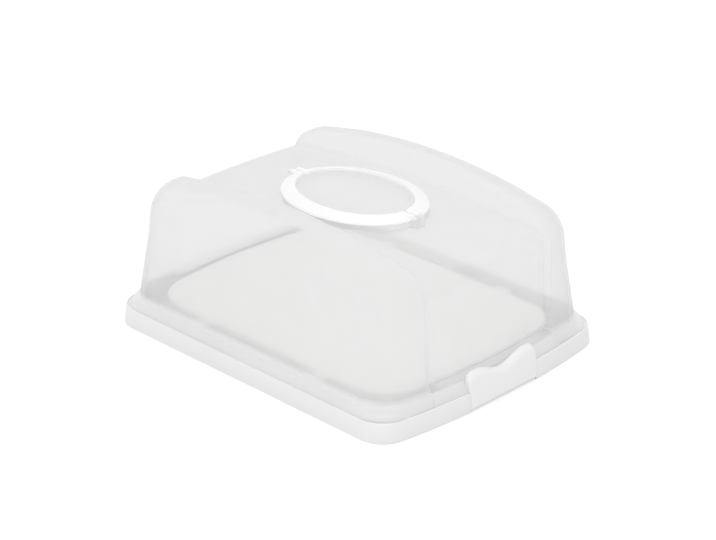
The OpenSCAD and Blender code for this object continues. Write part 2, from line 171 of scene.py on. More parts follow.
class Bench:
    """One piece on the bench, shaped by the usual edit-mode steps."""

    def __init__(self, name: str) -> None:
        """Take the object that was just added as the piece, and name it."""
        self.object = bpy.context.object
        self.object.name = name
        self.object.data.name = name

    @staticmethod
    def clear() -> None:
        """Leave edit mode and deselect everything."""
        if bpy.context.object and bpy.context.object.mode != "OBJECT":
            bpy.ops.object.mode_set(mode="OBJECT")
        bpy.ops.object.select_all(action="DESELECT")

    @classmethod
    def outline(
        cls, name: str, points: Sequence[Step], height: float, filled: bool = True
    ) -> "Bench":
        """Start from a circle laid on an outline.

        Args:
            name: Name of the piece.
            points: The outline in plan, counter-clockwise.
            height: Height of the outline.
            filled: Whether the outline is a face or only its edges.

        Returns:
            The bench, in edit mode with the outline selected.
        """
        cls.clear()
        fill = "NGON" if filled else "NOTHING"
        bpy.ops.mesh.primitive_circle_add(vertices=len(points), fill_type=fill)
        bench = cls(name)
        for vertex, (x, y) in zip(bench.object.data.vertices, points):
            vertex.co = (x, y, height)
        bench.edit()
        bpy.ops.mesh.select_all(action="SELECT")
        bpy.ops.mesh.normals_make_consistent(inside=False)
        if filled and bench.mesh().faces[0].normal.z < 0:
            bpy.ops.mesh.flip_normals()
        return bench

    @classmethod
    def block(cls, name: str, low: Point, high: Point) -> "Bench":
        """Start from a block between two corners.

        Args:
            name: Name of the piece.
            low: Its lowest corner.
            high: Its highest corner.

        Returns:
            The bench, in edit mode with the block selected.
        """
        cls.clear()
        middle = [(a + b) / 2 for a, b in zip(low, high)]
        size = [b - a for a, b in zip(low, high)]
        bpy.ops.mesh.primitive_cube_add(size=1, location=middle, scale=size)
        return cls(name).settle()

    @classmethod
    def rod(
        cls, name: str, axis: Axis, start: Point, length: float, radius: float, steps: int = 40
    ) -> "Bench":
        """Start from a rod along one of the frame's axes.

        Args:
            name: Name of the piece.
            axis: The direction of the rod.
            start: The middle of its first end.
            length: Its length.
            radius: Its radius.
            steps: Number of its sides.

        Returns:
            The bench, in edit mode with the rod selected.
        """
        cls.clear()
        turn = {Axis.X: (0, math.pi / 2, 0), Axis.Y: (math.pi / 2, 0, 0), Axis.Z: (0, 0, 0)}[axis]
        middle = Vector(start) + Vector(axis.value) * length / 2
        bpy.ops.mesh.primitive_cylinder_add(
            vertices=steps, radius=radius, depth=length, location=middle, rotation=turn
        )
        return cls(name).settle()

    def settle(self) -> "Bench":
        """Put the place of the piece into its mesh and go on in edit mode."""
        bpy.ops.object.transform_apply(location=True, rotation=True, scale=True)
        return self.edit()

    def hold(self) -> "Bench":
        """Leave edit mode with only this piece selected."""
        self.clear()
        self.object.select_set(True)
        bpy.context.view_layer.objects.active = self.object
        return self

    def edit(self) -> "Bench":
        """Edit only this piece, by its faces."""
        self.hold()
        bpy.ops.object.mode_set(mode="EDIT")
        bpy.ops.mesh.select_mode(type="FACE")
        return self

    def mesh(self) -> bmesh.types.BMesh:
        """The mesh that is being edited."""
        grid = bmesh.from_edit_mesh(self.object.data)
        grid.verts.ensure_lookup_table()
        grid.faces.ensure_lookup_table()
        return grid

    def _pick(self, kind: str, wanted: Callable[[object], bool]) -> "Bench":
        """Select only the faces or the edges that pass a test."""
        bpy.ops.mesh.select_mode(type=kind)
        bpy.ops.mesh.select_all(action="DESELECT")
        grid = self.mesh()
        for part in grid.faces if kind == "FACE" else grid.edges:
            part.select_set(wanted(part))
        bmesh.update_edit_mesh(self.object.data)
        return self

    def pick_faces(self, wanted: Callable[[Vector, Vector], bool]) -> "Bench":
        """Select only the faces that pass a test on their middle and their normal."""
        return self._pick("FACE", lambda face: wanted(face.calc_center_median(), face.normal))

    def pick_level(self, height: float) -> "Bench":
        """Select only the faces at a height."""
        return self.pick_faces(lambda middle, normal: abs(middle.z - height) < 1e-6)

    def pick_edges(self, wanted: Callable[[Vector, Vector], bool]) -> "Bench":
        """Select only the edges whose two ends pass a test."""
        return self._pick("EDGE", lambda edge: wanted(edge.verts[0].co, edge.verts[1].co))

    def rise(self, height: float) -> "Bench":
        """Extrude the selected face straight along its normal."""
        normal = next(face.normal.copy() for face in self.mesh().faces if face.select)
        bpy.ops.mesh.extrude_region_move(TRANSFORM_OT_translate={"value": normal * height})
        return self

    def walk(self, steps: Iterable[Step]) -> "Bench":
        """Inset the selected face step by step.

        Args:
            steps: How far each step goes in, and how far it moves along the face's normal. A step
                of nothing in is an extrusion.

        Returns:
            The bench, with the last face selected.
        """
        for inward, height in steps:
            if abs(inward) < 1e-7:
                self.rise(height)
            else:
                bpy.ops.mesh.inset(thickness=inward, depth=height, use_even_offset=True)
        return self

    def pull(self, height: float) -> "Bench":
        """Extrude the selected edges straight up, or down."""
        bpy.ops.mesh.extrude_edges_move(TRANSFORM_OT_translate={"value": (0.0, 0.0, height)})
        return self

    def resize(self, x: float, y: float, z: float = 1.0) -> "Bench":
        """Scale what is selected about the origin."""
        bpy.ops.transform.resize(value=(x, y, z), center_override=(0.0, 0.0, 0.0))
        return self

    def draw(self, halves: Step, profile: Iterable[Step], reach: float, height: float) -> "Bench":
        """Draw the selected edges out ring by ring.

        Args:
            halves: Half-lengths in X and Y of the plan from which a reach is counted.
            profile: How far out each ring reaches, and its height.
            reach: How far out the selected edges are.
            height: Their height.

        Returns:
            The bench, with the last ring selected.
        """
        for next_reach, next_height in profile:
            self.pull(next_height - height)
            self.resize(*((half + next_reach) / (half + reach) for half in halves))
            reach, height = next_reach, next_height
        return self

    def slice(self, axis: Axis, places: Iterable[float]) -> "Bench":
        """Bisect the whole piece at each place along an axis, and keep both sides."""
        for place in places:
            bpy.ops.mesh.select_all(action="SELECT")
            point = Vector(axis.value) * place
            bpy.ops.mesh.bisect(plane_co=point, plane_no=axis.value, use_fill=False)
        return self

    def warp(self, rule: Rule) -> "Bench":
        """Move every point to where a rule puts it."""
        for vertex in self.mesh().verts:
            vertex.co = rule(vertex.co.copy())
        bmesh.update_edit_mesh(self.object.data)
        return self

    def modify(self, kind: str, **settings: object) -> "Bench":
        """Apply a modifier to the piece.

        Args:
            kind: The type of the modifier.
            **settings: Its settings.

        Returns:
            The bench, in object mode.
        """
        self.hold()
        modifier = self.object.modifiers.new(kind.lower(), kind)
        for key, value in settings.items():
            setattr(modifier, key, value)
        bpy.ops.object.modifier_apply(modifier=modifier.name)
        return self

    def round_edges(self, width: float, segments: int = 3, angle: float = 30.0) -> "Bench":
        """Round every edge that is sharper than an angle."""
        limit = math.radians(angle)
        return self.modify(
            "BEVEL", width=width, segments=segments, limit_method="ANGLE", angle_limit=limit
        )

    def thicken(self, wall: float) -> "Bench":
        """Give an open surface a wall, inwards."""
        return self.modify(
            "SOLIDIFY", thickness=wall, offset=-1.0, use_even_offset=True, thickness_clamp=1.0
        )

    def combine(self, tool: "Bench", how: Cut) -> "Bench":
        """Join another solid to the piece or cut it away, and remove that solid."""
        self.modify("BOOLEAN", operation=how.value, solver="EXACT", object=tool.object)
        bpy.data.objects.remove(tool.object, do_unlink=True)
        return self

    def add(self, *others: "Bench") -> "Bench":
        """Join other pieces into this object, each as a closed form of its own."""
        self.hold()
        for other in others:
            other.object.select_set(True)
        bpy.ops.object.join()
        return self

    def copy(self, name: str) -> "Bench":
        """A copy of the piece with a mesh of its own."""
        self.hold()
        bpy.ops.object.duplicate(linked=False)
        return Bench(name)

    def mirror(self, axis: Axis) -> "Bench":
        """Turn the piece into its mirror image along an axis, with its faces still outwards."""
        self.edit()
        bpy.ops.mesh.select_all(action="SELECT")
        self.resize(*(-1.0 if part else 1.0 for part in axis.value))
        bpy.ops.mesh.flip_normals()
        return self

    def outwards(self) -> "Bench":
        """Merge doubled points and point every face outwards."""
        self.edit()
        bpy.ops.mesh.select_all(action="SELECT")
        bpy.ops.mesh.remove_doubles(threshold=0.01 * MM)
        bpy.ops.mesh.normals_make_consistent(inside=False)
        return self

    def smooth(self, angle: float = 35.0) -> "Bench":
        """Shade the piece smooth below an angle."""
        self.hold()
        bpy.ops.object.shade_smooth_by_angle(angle=math.radians(angle))
        return self


# ---- Finishes ----


class Signal:
    """A shader socket that can be used in Python expressions."""

    def __init__(self, shader: "Shader", socket: bpy.types.NodeSocket) -> None:
        """Wrap a socket of a shader."""
        self.shader = shader
        self.socket = socket

    def _math(self, operation: str, first: "Signal | float", second: "Signal | float") -> "Signal":
        """A Math node on two values."""
        values = {0: first, 1: second}
        return self.shader.node("ShaderNodeMath", {"operation": operation}, values)[0]

    def __add__(self, other: "Signal | float") -> "Signal":
        """This value plus another."""
        return self._math("ADD", self, other)

    def __mul__(self, other: "Signal | float") -> "Signal":
        """This value times another."""
        return self._math("MULTIPLY", self, other)

    def __rsub__(self, other: float) -> "Signal":
        """A number minus this value."""
        return self._math("SUBTRACT", other, self)

    __radd__ = __add__
    __rmul__ = __mul__

    def ramp(self, low: float, high: float) -> "Signal":
        """This value brought to the range from 0 at low to 1 at high."""
        values = {"Value": self, "From Min": low, "From Max": high}
        return self.shader.node("ShaderNodeMapRange", {"clamp": True}, values)["Result"]


class Outputs:
    """The outputs of a node, by name or number, as signals."""

    def __init__(self, shader: "Shader", node: bpy.types.Node) -> None:
        """Keep the node whose outputs are asked for."""
        self.shader = shader
        self.node = node

    def __getitem__(self, key: str | int) -> Signal:
        """One output as a signal."""
        return Signal(self.shader, self.node.outputs[key])


class Shader:
    """The node tree of a material or of the world, built one node at a time."""

    def __init__(self, owner: bpy.types.Material | bpy.types.World) -> None:
        """Empty the owner's tree."""
        owner.use_nodes = True
        self.owner = owner
        self.tree = owner.node_tree
        self.tree.nodes.clear()

    @classmethod
    def named(cls, name: str) -> "Shader":
        """A new material's tree."""
        return cls(bpy.data.materials.new(name))

    def node(self, kind: str, settings: dict | None = None, values: dict | None = None) -> Outputs:
        """Add a node.

        Args:
            kind: The type of the node.
            settings: Its settings, which are set first.
            values: The values or signals of its sockets, by name or number.

        Returns:
            Its outputs.
        """
        node = self.tree.nodes.new(kind)
        for key, setting in (settings or {}).items():
            setattr(node, key, setting)
        for key, value in (values or {}).items():
            if isinstance(value, Signal):
                self.tree.links.new(value.socket, node.inputs[key])
            else:
                node.inputs[key].default_value = value
        return Outputs(self, node)

    def place(self) -> Signal:
        """The place of a point on the piece."""
        return self.node("ShaderNodeTexCoord")["Object"]

    def height(self) -> Signal:
        """The height of a point on the piece."""
        return self.node("ShaderNodeSeparateXYZ", None, {"Vector": self.place()})["Z"]

    def noise(self, scale: float, detail: float = 3.0, vector: Signal | None = None) -> Signal:
        """Smooth noise between 0 and 1.

        Args:
            scale: Cells in a metre.
            detail: Octaves of finer noise.
            vector: Where to read it; by default the place on the piece.

        Returns:
            Its value.
        """
        values = {"Vector": vector or self.place(), "Scale": scale, "Detail": detail}
        return self.node("ShaderNodeTexNoise", None, values)["Fac"]

    def blend(self, factor: Signal, low: Sequence[float], high: Sequence[float]) -> Signal:
        """A colour between two colours.

        Args:
            factor: 0 for the first colour and 1 for the second.
            low: The first colour.
            high: The second colour.

        Returns:
            The mixed colour.
        """
        values = {0: factor, 6: (*low, 1.0), 7: (*high, 1.0)}
        return self.node("ShaderNodeMix", {"data_type": "RGBA"}, values)[2]

    def mix(self, share: Signal, first: Signal, second: Signal) -> Signal:
        """A surface between two surfaces, with the second's share."""
        return self.node("ShaderNodeMixShader", None, {0: share, 1: first, 2: second})["Shader"]

    def principled(self, values: dict) -> Signal:
        """The principled surface with these sockets set."""
        return self.node("ShaderNodeBsdfPrincipled", None, values)["BSDF"]

    def bump(self, height: Signal, strength: float, distance: float) -> Signal:
        """A normal from a height."""
        values = {"Height": height, "Strength": strength, "Distance": distance}
        return self.node("ShaderNodeBump", None, values)["Normal"]

    def close(self, surface: Signal) -> bpy.types.Material:
        """Close a material's tree with its surface, and give the material."""
        self.node("ShaderNodeOutputMaterial", None, {"Surface": surface})
        return self.owner


@dataclass(frozen=True)
class MouldedPlastic:
    """Satin injection-moulded polypropylene."""

    name: str
    slot: str
    colour: Point
    roughness: float = 0.38
    mottle: float = 0.02
    grain: float = 0.35
    sheen_tone: float = 0.45
    relief: float = 0.12 * MM
    cloud_scale: float = 9.0
    grain_scale: float = 1400.0
    flow_scale: float = 60.0

    def material(self) -> bpy.types.Material:
        """The plastic, with a faint cloudiness, flow marks and a fine sparked grain."""
        shader = Shader.named(self.name)
        cloud = shader.noise(self.cloud_scale, 4.0)
        grain = shader.noise(self.grain_scale, 2.0)
        flow = shader.noise(self.flow_scale, 3.0)
        deep = [part * (1.0 - self.mottle) for part in self.colour]
        surface = shader.principled(
            {
                "Base Color": shader.blend(cloud.ramp(*CLOUDS), deep, self.colour),
                "Roughness": self.roughness - 0.05 + 0.1 * flow,
                "Specular IOR Level": self.sheen_tone,
                "Normal": shader.bump(grain + 0.5 * flow, self.grain, self.relief),
            }
        )
        return shader.close(surface)


@dataclass(frozen=True)
class FrostedPlastic:
    """Milky see-through polypropylene, as thin moulded lids are."""

    name: str
    slot: str
    colour: Point
    veil: float = 0.4
    foot: float = 31.5 * MM
    foot_fade: float = 7.0 * MM
    foot_veil: float = 0.44
    edge_veil: float = 0.75
    through: float = 0.74
    foot_through: float = 0.12
    roughness: float = 0.3
    mottle: float = 0.025
    relief: float = 0.12 * MM
    cloud_scale: float = 14.0
    grain_scale: float = 900.0

    def material(self) -> bpy.types.Material:
        """The plastic: a milky veil over a clear sheet, denser in clouds, low down and edge-on."""
        shader = Shader.named(self.name)
        cloud = shader.noise(self.cloud_scale, 4.0)
        grain = shader.noise(self.grain_scale, 2.0)
        deep = [part * (1.0 - self.mottle) for part in self.colour]
        front = shader.principled(
            {
                "Base Color": shader.blend(cloud.ramp(*CLOUDS), deep, self.colour),
                "Roughness": self.roughness - 0.04 + 0.08 * cloud,
                "Normal": shader.bump(grain + 2.0 * cloud, 0.2, self.relief),
            }
        )
        colour = (*self.colour, 1.0)
        glow = shader.node("ShaderNodeBsdfTranslucent", None, {"Color": colour})["BSDF"]
        low = 1 - shader.height().ramp(self.foot, self.foot + self.foot_fade)
        share = self.through - (self.through - self.foot_through) * low
        clear = shader.node("ShaderNodeBsdfTransparent")["BSDF"]
        slant = shader.node("ShaderNodeLayerWeight", None, {"Blend": 0.5})["Facing"]
        steep = slant * slant * slant
        density = self.veil - 0.02 + 0.04 * cloud + self.foot_veil * low + self.edge_veil * steep
        return shader.close(shader.mix(density, clear, shader.mix(share, front, glow)))


@dataclass(frozen=True)
class DrawnSteel:
    """Plain drawn wire."""

    name: str
    slot: str
    colour: Point
    roughness: float = 0.28
    shade: float = 0.85
    relief: float = 0.05 * MM
    line_scale: float = 2500.0
    stretch: Point = (1.0, 0.02, 1.0)

    def material(self) -> bpy.types.Material:
        """The wire, with fine lines along its length."""
        shader = Shader.named(self.name)
        values = {"Vector": shader.place(), "Scale": self.stretch}
        stretched = shader.node("ShaderNodeMapping", None, values)["Vector"]
        lines = shader.noise(self.line_scale, 2.0, stretched)
        deep = [part * self.shade for part in self.colour]
        surface = shader.principled(
            {
                "Base Color": shader.blend(lines, deep, self.colour),
                "Metallic": 1.0,
                "Roughness": self.roughness + 0.12 * lines,
                "Normal": shader.bump(lines, 0.2, self.relief),
            }
        )
        return shader.close(surface)


@dataclass(frozen=True)
class Finishes:
    """The finishes of the carrier."""

    tray: MouldedPlastic = MouldedPlastic("tray_plastic", "tray_white", (0.89, 0.89, 0.89))
    insert: MouldedPlastic = MouldedPlastic(
        "insert_plastic", "insert_white", (0.95, 0.945, 0.93), roughness=0.42
    )
    handle: MouldedPlastic = MouldedPlastic(
        "handle_plastic", "handle_white", (0.95, 0.95, 0.95), roughness=0.3
    )
    clip: MouldedPlastic = MouldedPlastic(
        "clip_plastic", "clip_white", (0.915, 0.915, 0.915), roughness=0.33
    )
    dome: FrostedPlastic = FrostedPlastic("frosted_plastic", "dome_frosted", (0.945, 0.946, 0.948))
    pin: DrawnSteel = DrawnSteel("drawn_steel", "pin_steel", (0.62, 0.62, 0.63))


Finish = MouldedPlastic | FrostedPlastic | DrawnSteel


# ---- The carrier's pieces ----


@dataclass(frozen=True)
class Hinge:
    """The lid's hinge, which the tray and the lid share."""

    x: float = -210.1 * MM
    z: float = 24.5 * MM
    radius: float = 3.2 * MM

    def knuckle(self, foot: Bench, start: float, end: float) -> Bench:
        """Join one knuckle of the hinge to the block that carries it.

        Args:
            foot: The block.
            start: Where the knuckle starts along the hinge.
            end: Where it ends.

        Returns:
            The block with its knuckle, rounded.
        """
        place = (self.x, start, self.z)
        barrel = Bench.rod("knuckle", Axis.Y, place, end - start, self.radius)
        return foot.combine(barrel, Cut.JOIN).round_edges(0.3 * MM, 2, 50.0)


@dataclass
class SubAssembly:
    """What all sub-assemblies share: dressing their pieces and tying them to the frame."""

    finishes: Finishes

    def dress(
        self, bench: Bench, finish: Finish, body: str, nodes: Sequence[str]
    ) -> bpy.types.Object:
        """Give a finished piece its material and body.

        Args:
            bench: The piece.
            finish: Its finish.
            body: The body that it rides on.
            nodes: The nodes of the frame that it stands for.

        Returns:
            The piece's object.
        """
        bench.clear()
        piece = bench.object
        piece.data.materials.clear()
        piece.data.materials.append(finish.material())
        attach(piece, body)
        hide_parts(*nodes)
        LOG.info("%s: %d faces", piece.name, len(piece.data.polygons))
        return piece


@dataclass
class Tray(SubAssembly):
    """The white base tray with its bead, rim, well and skirt, and the hinge's fixed knuckles."""

    length: float = 430.0 * MM
    width: float = 334.4 * MM
    corner: float = 32.0 * MM
    end_radius: float = 939.0 * MM
    skirt: float = 21.3 * MM
    lean: float = 1.7 * MM
    wall: float = 2.4 * MM
    foot_round: float = 1.2 * MM
    bead: float = 1.2 * MM
    bead_depth: float = 1.3 * MM
    rim: float = 7.1 * MM
    floor: float = 6.4 * MM
    pocket_half: float = 50.3 * MM
    pocket_x: float = 205.4 * MM
    cheek: float = 4.1 * MM
    ledge: float = 0.8 * MM
    ledge_drop: float = 0.5 * MM
    fillet: float = 2.0 * MM
    fillet_share: float = 0.3
    under_slack: float = 0.2 * MM
    rib_pitch: float = 62.0 * MM
    rib_reach: Step = (185.0 * MM, 152.0 * MM)
    rib_foot: float = 1.4 * MM
    hinge: Hinge = Hinge()
    knuckles: tuple[Step, ...] = (
        (-11.6 * MM, 11.6 * MM),
        (30.6 * MM, 46.2 * MM),
        (-46.2 * MM, -30.6 * MM),
    )

    @property
    def plan(self) -> BowedRectangle:
        """The tray's outline on the table."""
        return BowedRectangle(self.length, self.width, self.corner, self.end_radius)

    @property
    def rim_top(self) -> float:
        """Height of the rim that the lid stands on."""
        return self.skirt - self.bead_depth

    def build(self) -> bpy.types.Object:
        """Model and dress the tray."""
        bench = self._shell()
        low = (self.pocket_x, -self.pocket_half, -self.wall)
        high = (self.length / 2 + self.wall, self.pocket_half, self.skirt + self.wall)
        bench.combine(Bench.block("pocket", low, high), Cut.AWAY)
        bench.round_edges(0.35 * MM, 2, 40.0).smooth()
        bench.add(*self._cheeks(), *self._ribs(), *self._knuckles())
        return self.dress(bench.smooth(), self.finishes.tray, "base", ["base_tray"])

    def _shell(self) -> Bench:
        """The tray itself, walked inwards over its bead, rim and well, and again underneath."""
        bench = Bench.outline("tray", self.plan.points(), self.foot_round)
        bench.rise(self.skirt - self.bead - self.foot_round)
        bench.resize(1 - 2 * self.lean / self.length, 1 - 2 * self.lean / self.width)
        fillet, less = self.fillet, self.fillet_share
        more = 1 - less
        depth = self.rim_top - self.floor
        bench.walk(rounding(self.bead, 0, 90))
        bench.walk(rounding(self.bead, 90, 180))
        bench.walk([(0.0, self.bead - self.bead_depth), (self.rim - self.ledge, 0.0)])
        bench.walk([(self.ledge, -self.ledge_drop), (0.0, fillet + self.ledge_drop - depth)])
        bench.walk([(fillet * less, -fillet * more), (fillet * more, -fillet * less)])
        bench.pick_level(self.foot_round)
        under = self.rim_top - self.wall
        span = 2 * self.bead + self.rim + self.lean
        bench.walk(rounding(self.foot_round, 0, 90, 3))
        bench.walk([(self.wall - self.foot_round, 0.0), (0.0, -under)])
        bench.walk([(span - 2 * self.wall - self.under_slack, 0.0), (0.0, under)])
        bench.walk([(self.wall, 0.0), (0.0, self.wall - self.floor)])
        return bench.outwards()

    def _cheeks(self) -> list[Bench]:
        """The solid cheeks that carry the clip's stubs."""
        cheeks = []
        for side in (-1, 1):
            near, far = sorted((side * self.pocket_half, side * (self.pocket_half + self.cheek)))
            low = (self.pocket_x, near, 0.4 * MM)
            high = (self.length / 2 - 2.6 * MM, far, self.rim_top - 0.5 * MM)
            cheeks.append(Bench.block("cheek", low, high).round_edges(0.3 * MM, 1))
        return cheeks

    def _ribs(self) -> list[Bench]:
        """The crossed ribs under the floor."""
        reach_x, reach_y = self.rib_reach
        top = self.floor - self.wall + 0.2 * MM
        low_z, half = self.rib_foot, self.wall / 2
        ribs = []
        for x in (i * self.rib_pitch for i in range(-3, 4)):
            ribs.append(Bench.block("rib", (x - half, -reach_y, low_z), (x + half, reach_y, top)))
        for y in (i * self.rib_pitch for i in range(-1, 2)):
            ribs.append(Bench.block("rib", (-reach_x, y - half, low_z), (reach_x, y + half, top)))
        return ribs

    def _knuckles(self) -> list[Bench]:
        """The fixed knuckles of the lid's hinge, each on its own foot."""
        x, z, half = self.hinge.x, self.hinge.z, self.hinge.radius
        low_z = self.rim_top - self.wall
        made = []
        for start, end in self.knuckles:
            foot = Bench.block("foot", (x - half, start, low_z), (x + half, end, z))
            made.append(self.hinge.knuckle(foot, start, end))
        return made


@dataclass
class Insert(SubAssembly):
    """The lift-out serving insert with its lifting tabs."""

    length: float = 371.6 * MM
    width: float = 269.1 * MM
    corner: float = 47.0 * MM
    end_radius: float = 580.0 * MM
    foot: float = 6.7 * MM
    top: float = 31.0 * MM
    wall: float = 2.2 * MM
    edge: float = 1.1 * MM
    tab_x: float = 86.0 * MM
    tab_width: float = 19.0 * MM
    tab_reach: float = 13.4 * MM
    tab_corner: float = 4.0 * MM

    @property
    def plan(self) -> BowedRectangle:
        """The insert's outline."""
        return BowedRectangle(self.length, self.width, self.corner, self.end_radius, 16, 20)

    def build(self) -> bpy.types.Object:
        """Model and dress the insert."""
        bench = Bench.outline("serving_insert", self.plan.points(), self.foot)
        bench.rise(self.top - self.edge - self.foot)
        bench.walk(rounding(self.edge, 0, 90))
        bench.pick_level(self.foot)
        bench.walk([(self.wall, 0.0), (0.0, self.foot + self.wall - self.top)])
        bench.outwards().smooth()
        bench.add(*self._tabs())
        return self.dress(bench.smooth(), self.finishes.insert, "insert", ["serving_insert"])

    def _tabs(self) -> list[Bench]:
        """The four tabs that a finger lifts."""
        tabs = []
        half, side = self.tab_width / 2, self.width / 2
        high_z = self.top - self.wall
        low_z = high_z - 1.5 * self.wall
        for x in (-self.tab_x, self.tab_x):
            for sign in (-1, 1):
                near, far = sorted((sign * (side - self.wall), sign * (side + self.tab_reach)))
                tab = Bench.block("tab", (x - half, near, low_z), (x + half, far, high_z))
                tabs.append(self._round_tab(tab, sign))
        return tabs

    def _round_tab(self, tab: Bench, sign: int) -> Bench:
        """Round a tab's two free corners in plan, and all its edges a little."""
        limit = self.width / 2 + self.tab_reach - 0.1 * MM

        def free(a: Vector, b: Vector) -> bool:
            """Whether an edge is one of the two upright ones at the free end."""
            upright = abs(a.z - b.z) > MM
            return upright and min(sign * a.y, sign * b.y) > limit

        tab.pick_edges(free)
        bpy.ops.mesh.bevel(offset=self.tab_corner, segments=5, affect="EDGES")
        return tab.round_edges(0.5 * MM, 2)


@dataclass
class Dome(SubAssembly):
    """The frosted lid: two arched ridges, a valley between them, a flange and a pedestal."""

    half_length: float = 196.0 * MM
    half_width: float = 145.0 * MM
    foot: float = 31.0 * MM
    top: float = 178.0 * MM
    edge: float = 40.0 * MM
    arch: float = 745.0 * MM
    foot_x: float = 203.3 * MM
    foot_y: float = 155.5 * MM
    foot_corner: float = 30.0 * MM
    end_radius: float = 939.0 * MM
    valley_half: float = 91.0 * MM
    valley_lean: float = 9.0 * MM
    valley_top: float = 151.0 * MM
    valley_arch: float = 1945.0 * MM
    valley_shoulder: float = 18.0 * MM
    valley_end: float = 189.0 * MM
    shelf: float = 34.0 * MM
    wall: float = 2.0 * MM
    lip: float = 16.0 * MM
    flange: tuple[Step, ...] = (
        (1.2 * MM, 30.6 * MM),
        (3.0 * MM, 29.3 * MM),
        (4.8 * MM, 27.3 * MM),
        (6.2 * MM, 24.8 * MM),
        (7.2 * MM, 22.2 * MM),
        (7.45 * MM, 20.15 * MM),
    )
    pedestal: Step = (87.4 * MM, 66.4 * MM)
    pedestal_top: float = 156.0 * MM
    plate: Step = (70.5 * MM, 49.5 * MM)
    plate_top: float = 160.51 * MM
    ear_x: Step = (89.8 * MM, 93.8 * MM)
    pivot: Step = (3.9 * MM, 159.21 * MM)
    ear_radius: float = 2.9 * MM
    hinge: Hinge = Hinge()
    knuckles: tuple[Step, ...] = ((12.1 * MM, 30.1 * MM), (-30.1 * MM, -12.1 * MM))
    clip_gap: float = 50.5 * MM
    hinge_gap: float = 46.7 * MM
    room: float = 220.0 * MM
    arch_knee: float = 145.0 * MM
    arch_soft: float = 15.0 * MM
    bow_start: float = 90.0 * MM
    bow_end: float = 190.0 * MM
    lean_soft: float = 0.08
    step: float = 3.0 * MM
    levels: tuple[float, ...] = (46.0 * MM, 60.0 * MM, 78.0 * MM, 98.0 * MM, 120.0 * MM)
    edge_segments: int = 12
    columns: int = 13
    rows: int = 6
    crease: float = 4.8 * MM
    crease_segments: int = 6
    inner_crease: float = 0.7

    def build(self) -> bpy.types.Object:
        """Model and dress the lid."""
        bench = self._blank()
        self._shape(bench)
        self._flare(bench)
        bench.thicken(self.wall)
        self._open(bench)
        bench.smooth(32.0)
        bench.add(self._lip(), self._pedestal(), *self._ears(), *self._knuckles())
        return self.dress(bench, self.finishes.dome, "lid", ["dome_lid"])

    def _blank(self) -> Bench:
        """An open box with large round edges, cut into the rows and columns to be shaped."""
        low = (-self.half_length, -self.half_width, self.foot)
        high = (self.half_length, self.half_width, self.top)
        bench = Bench.block("dome_lid", low, high)
        bench.pick_faces(lambda middle, normal: normal.z < -0.9)
        bpy.ops.mesh.delete(type="FACE")
        bench.pick_edges(lambda a, b: max(a.z, b.z) > self.foot + MM)
        bpy.ops.mesh.bevel(offset=self.edge, segments=self.edge_segments, affect="EDGES")
        flat_x = self.half_length - self.edge
        count = self.columns
        bench.slice(Axis.X, [flat_x * i / count for i in range(1 - count, count)])
        near = self.valley_half + self.valley_lean
        places = [self.valley_half * i / self.rows for i in range(self.rows)]
        places += [self.valley_half, near]
        bench.slice(Axis.Y, sorted({sign * place for place in places for sign in (-1, 1)}))
        return bench.slice(Axis.Z, (self.shelf, self.shelf + self.step, *self.levels))

    def _drop(self, x: float) -> float:
        """How far the ridges' arch has come down at x."""
        soft, knee = self.arch_soft, self.arch_knee
        reach = abs(x)
        if reach > knee:
            reach = knee + soft * (1 - math.exp((knee - reach) / soft))
        return sagitta(self.arch, reach)

    def _bow(self, x: float, y: float) -> float:
        """How far the form is drawn in at x, so that its end is bowed across y."""
        return sagitta(self.end_radius, y) * ease(abs(x), self.bow_start, self.bow_end)

    def _ridge(self, p: Vector) -> Vector:
        """Where a point of the blank goes on the ridges' form.

        Args:
            p: A point of the blank.

        Returns:
            Its place on the arched, leaning and bowed form.
        """
        level = self.top - self.edge
        share = min(1.0, max(0.0, (p.z - self.foot) / (level - self.foot)))
        z = p.z - self._drop(p.x) * share
        down = 1 - share
        lean = (1 + self.lean_soft) * down**2 / (down + self.lean_soft)
        flat_x, flat_y = self.half_length - self.edge, self.half_width - self.edge
        over_x, over_y = abs(p.x) - flat_x, abs(p.y) - flat_y
        tight = (self.edge - self.foot_corner) * lean
        grow_x = (self.foot_x - self.half_length) * lean * abs(p.x) / self.half_length
        grow_y = (self.foot_y - self.half_width) * lean * abs(p.y) / self.half_width
        if over_x > -1e-6 and over_y > -1e-6 and share < 1:
            turn = math.atan2(max(over_y, 0.0), max(over_x, 0.0))
            grow_x += tight * (1 - math.cos(turn))
            grow_y += tight * (1 - math.sin(turn))
        x, y = abs(p.x) + grow_x, abs(p.y) + grow_y
        x -= self._bow(p.x, y)
        return Vector((math.copysign(x, p.x), math.copysign(y, p.y), z))

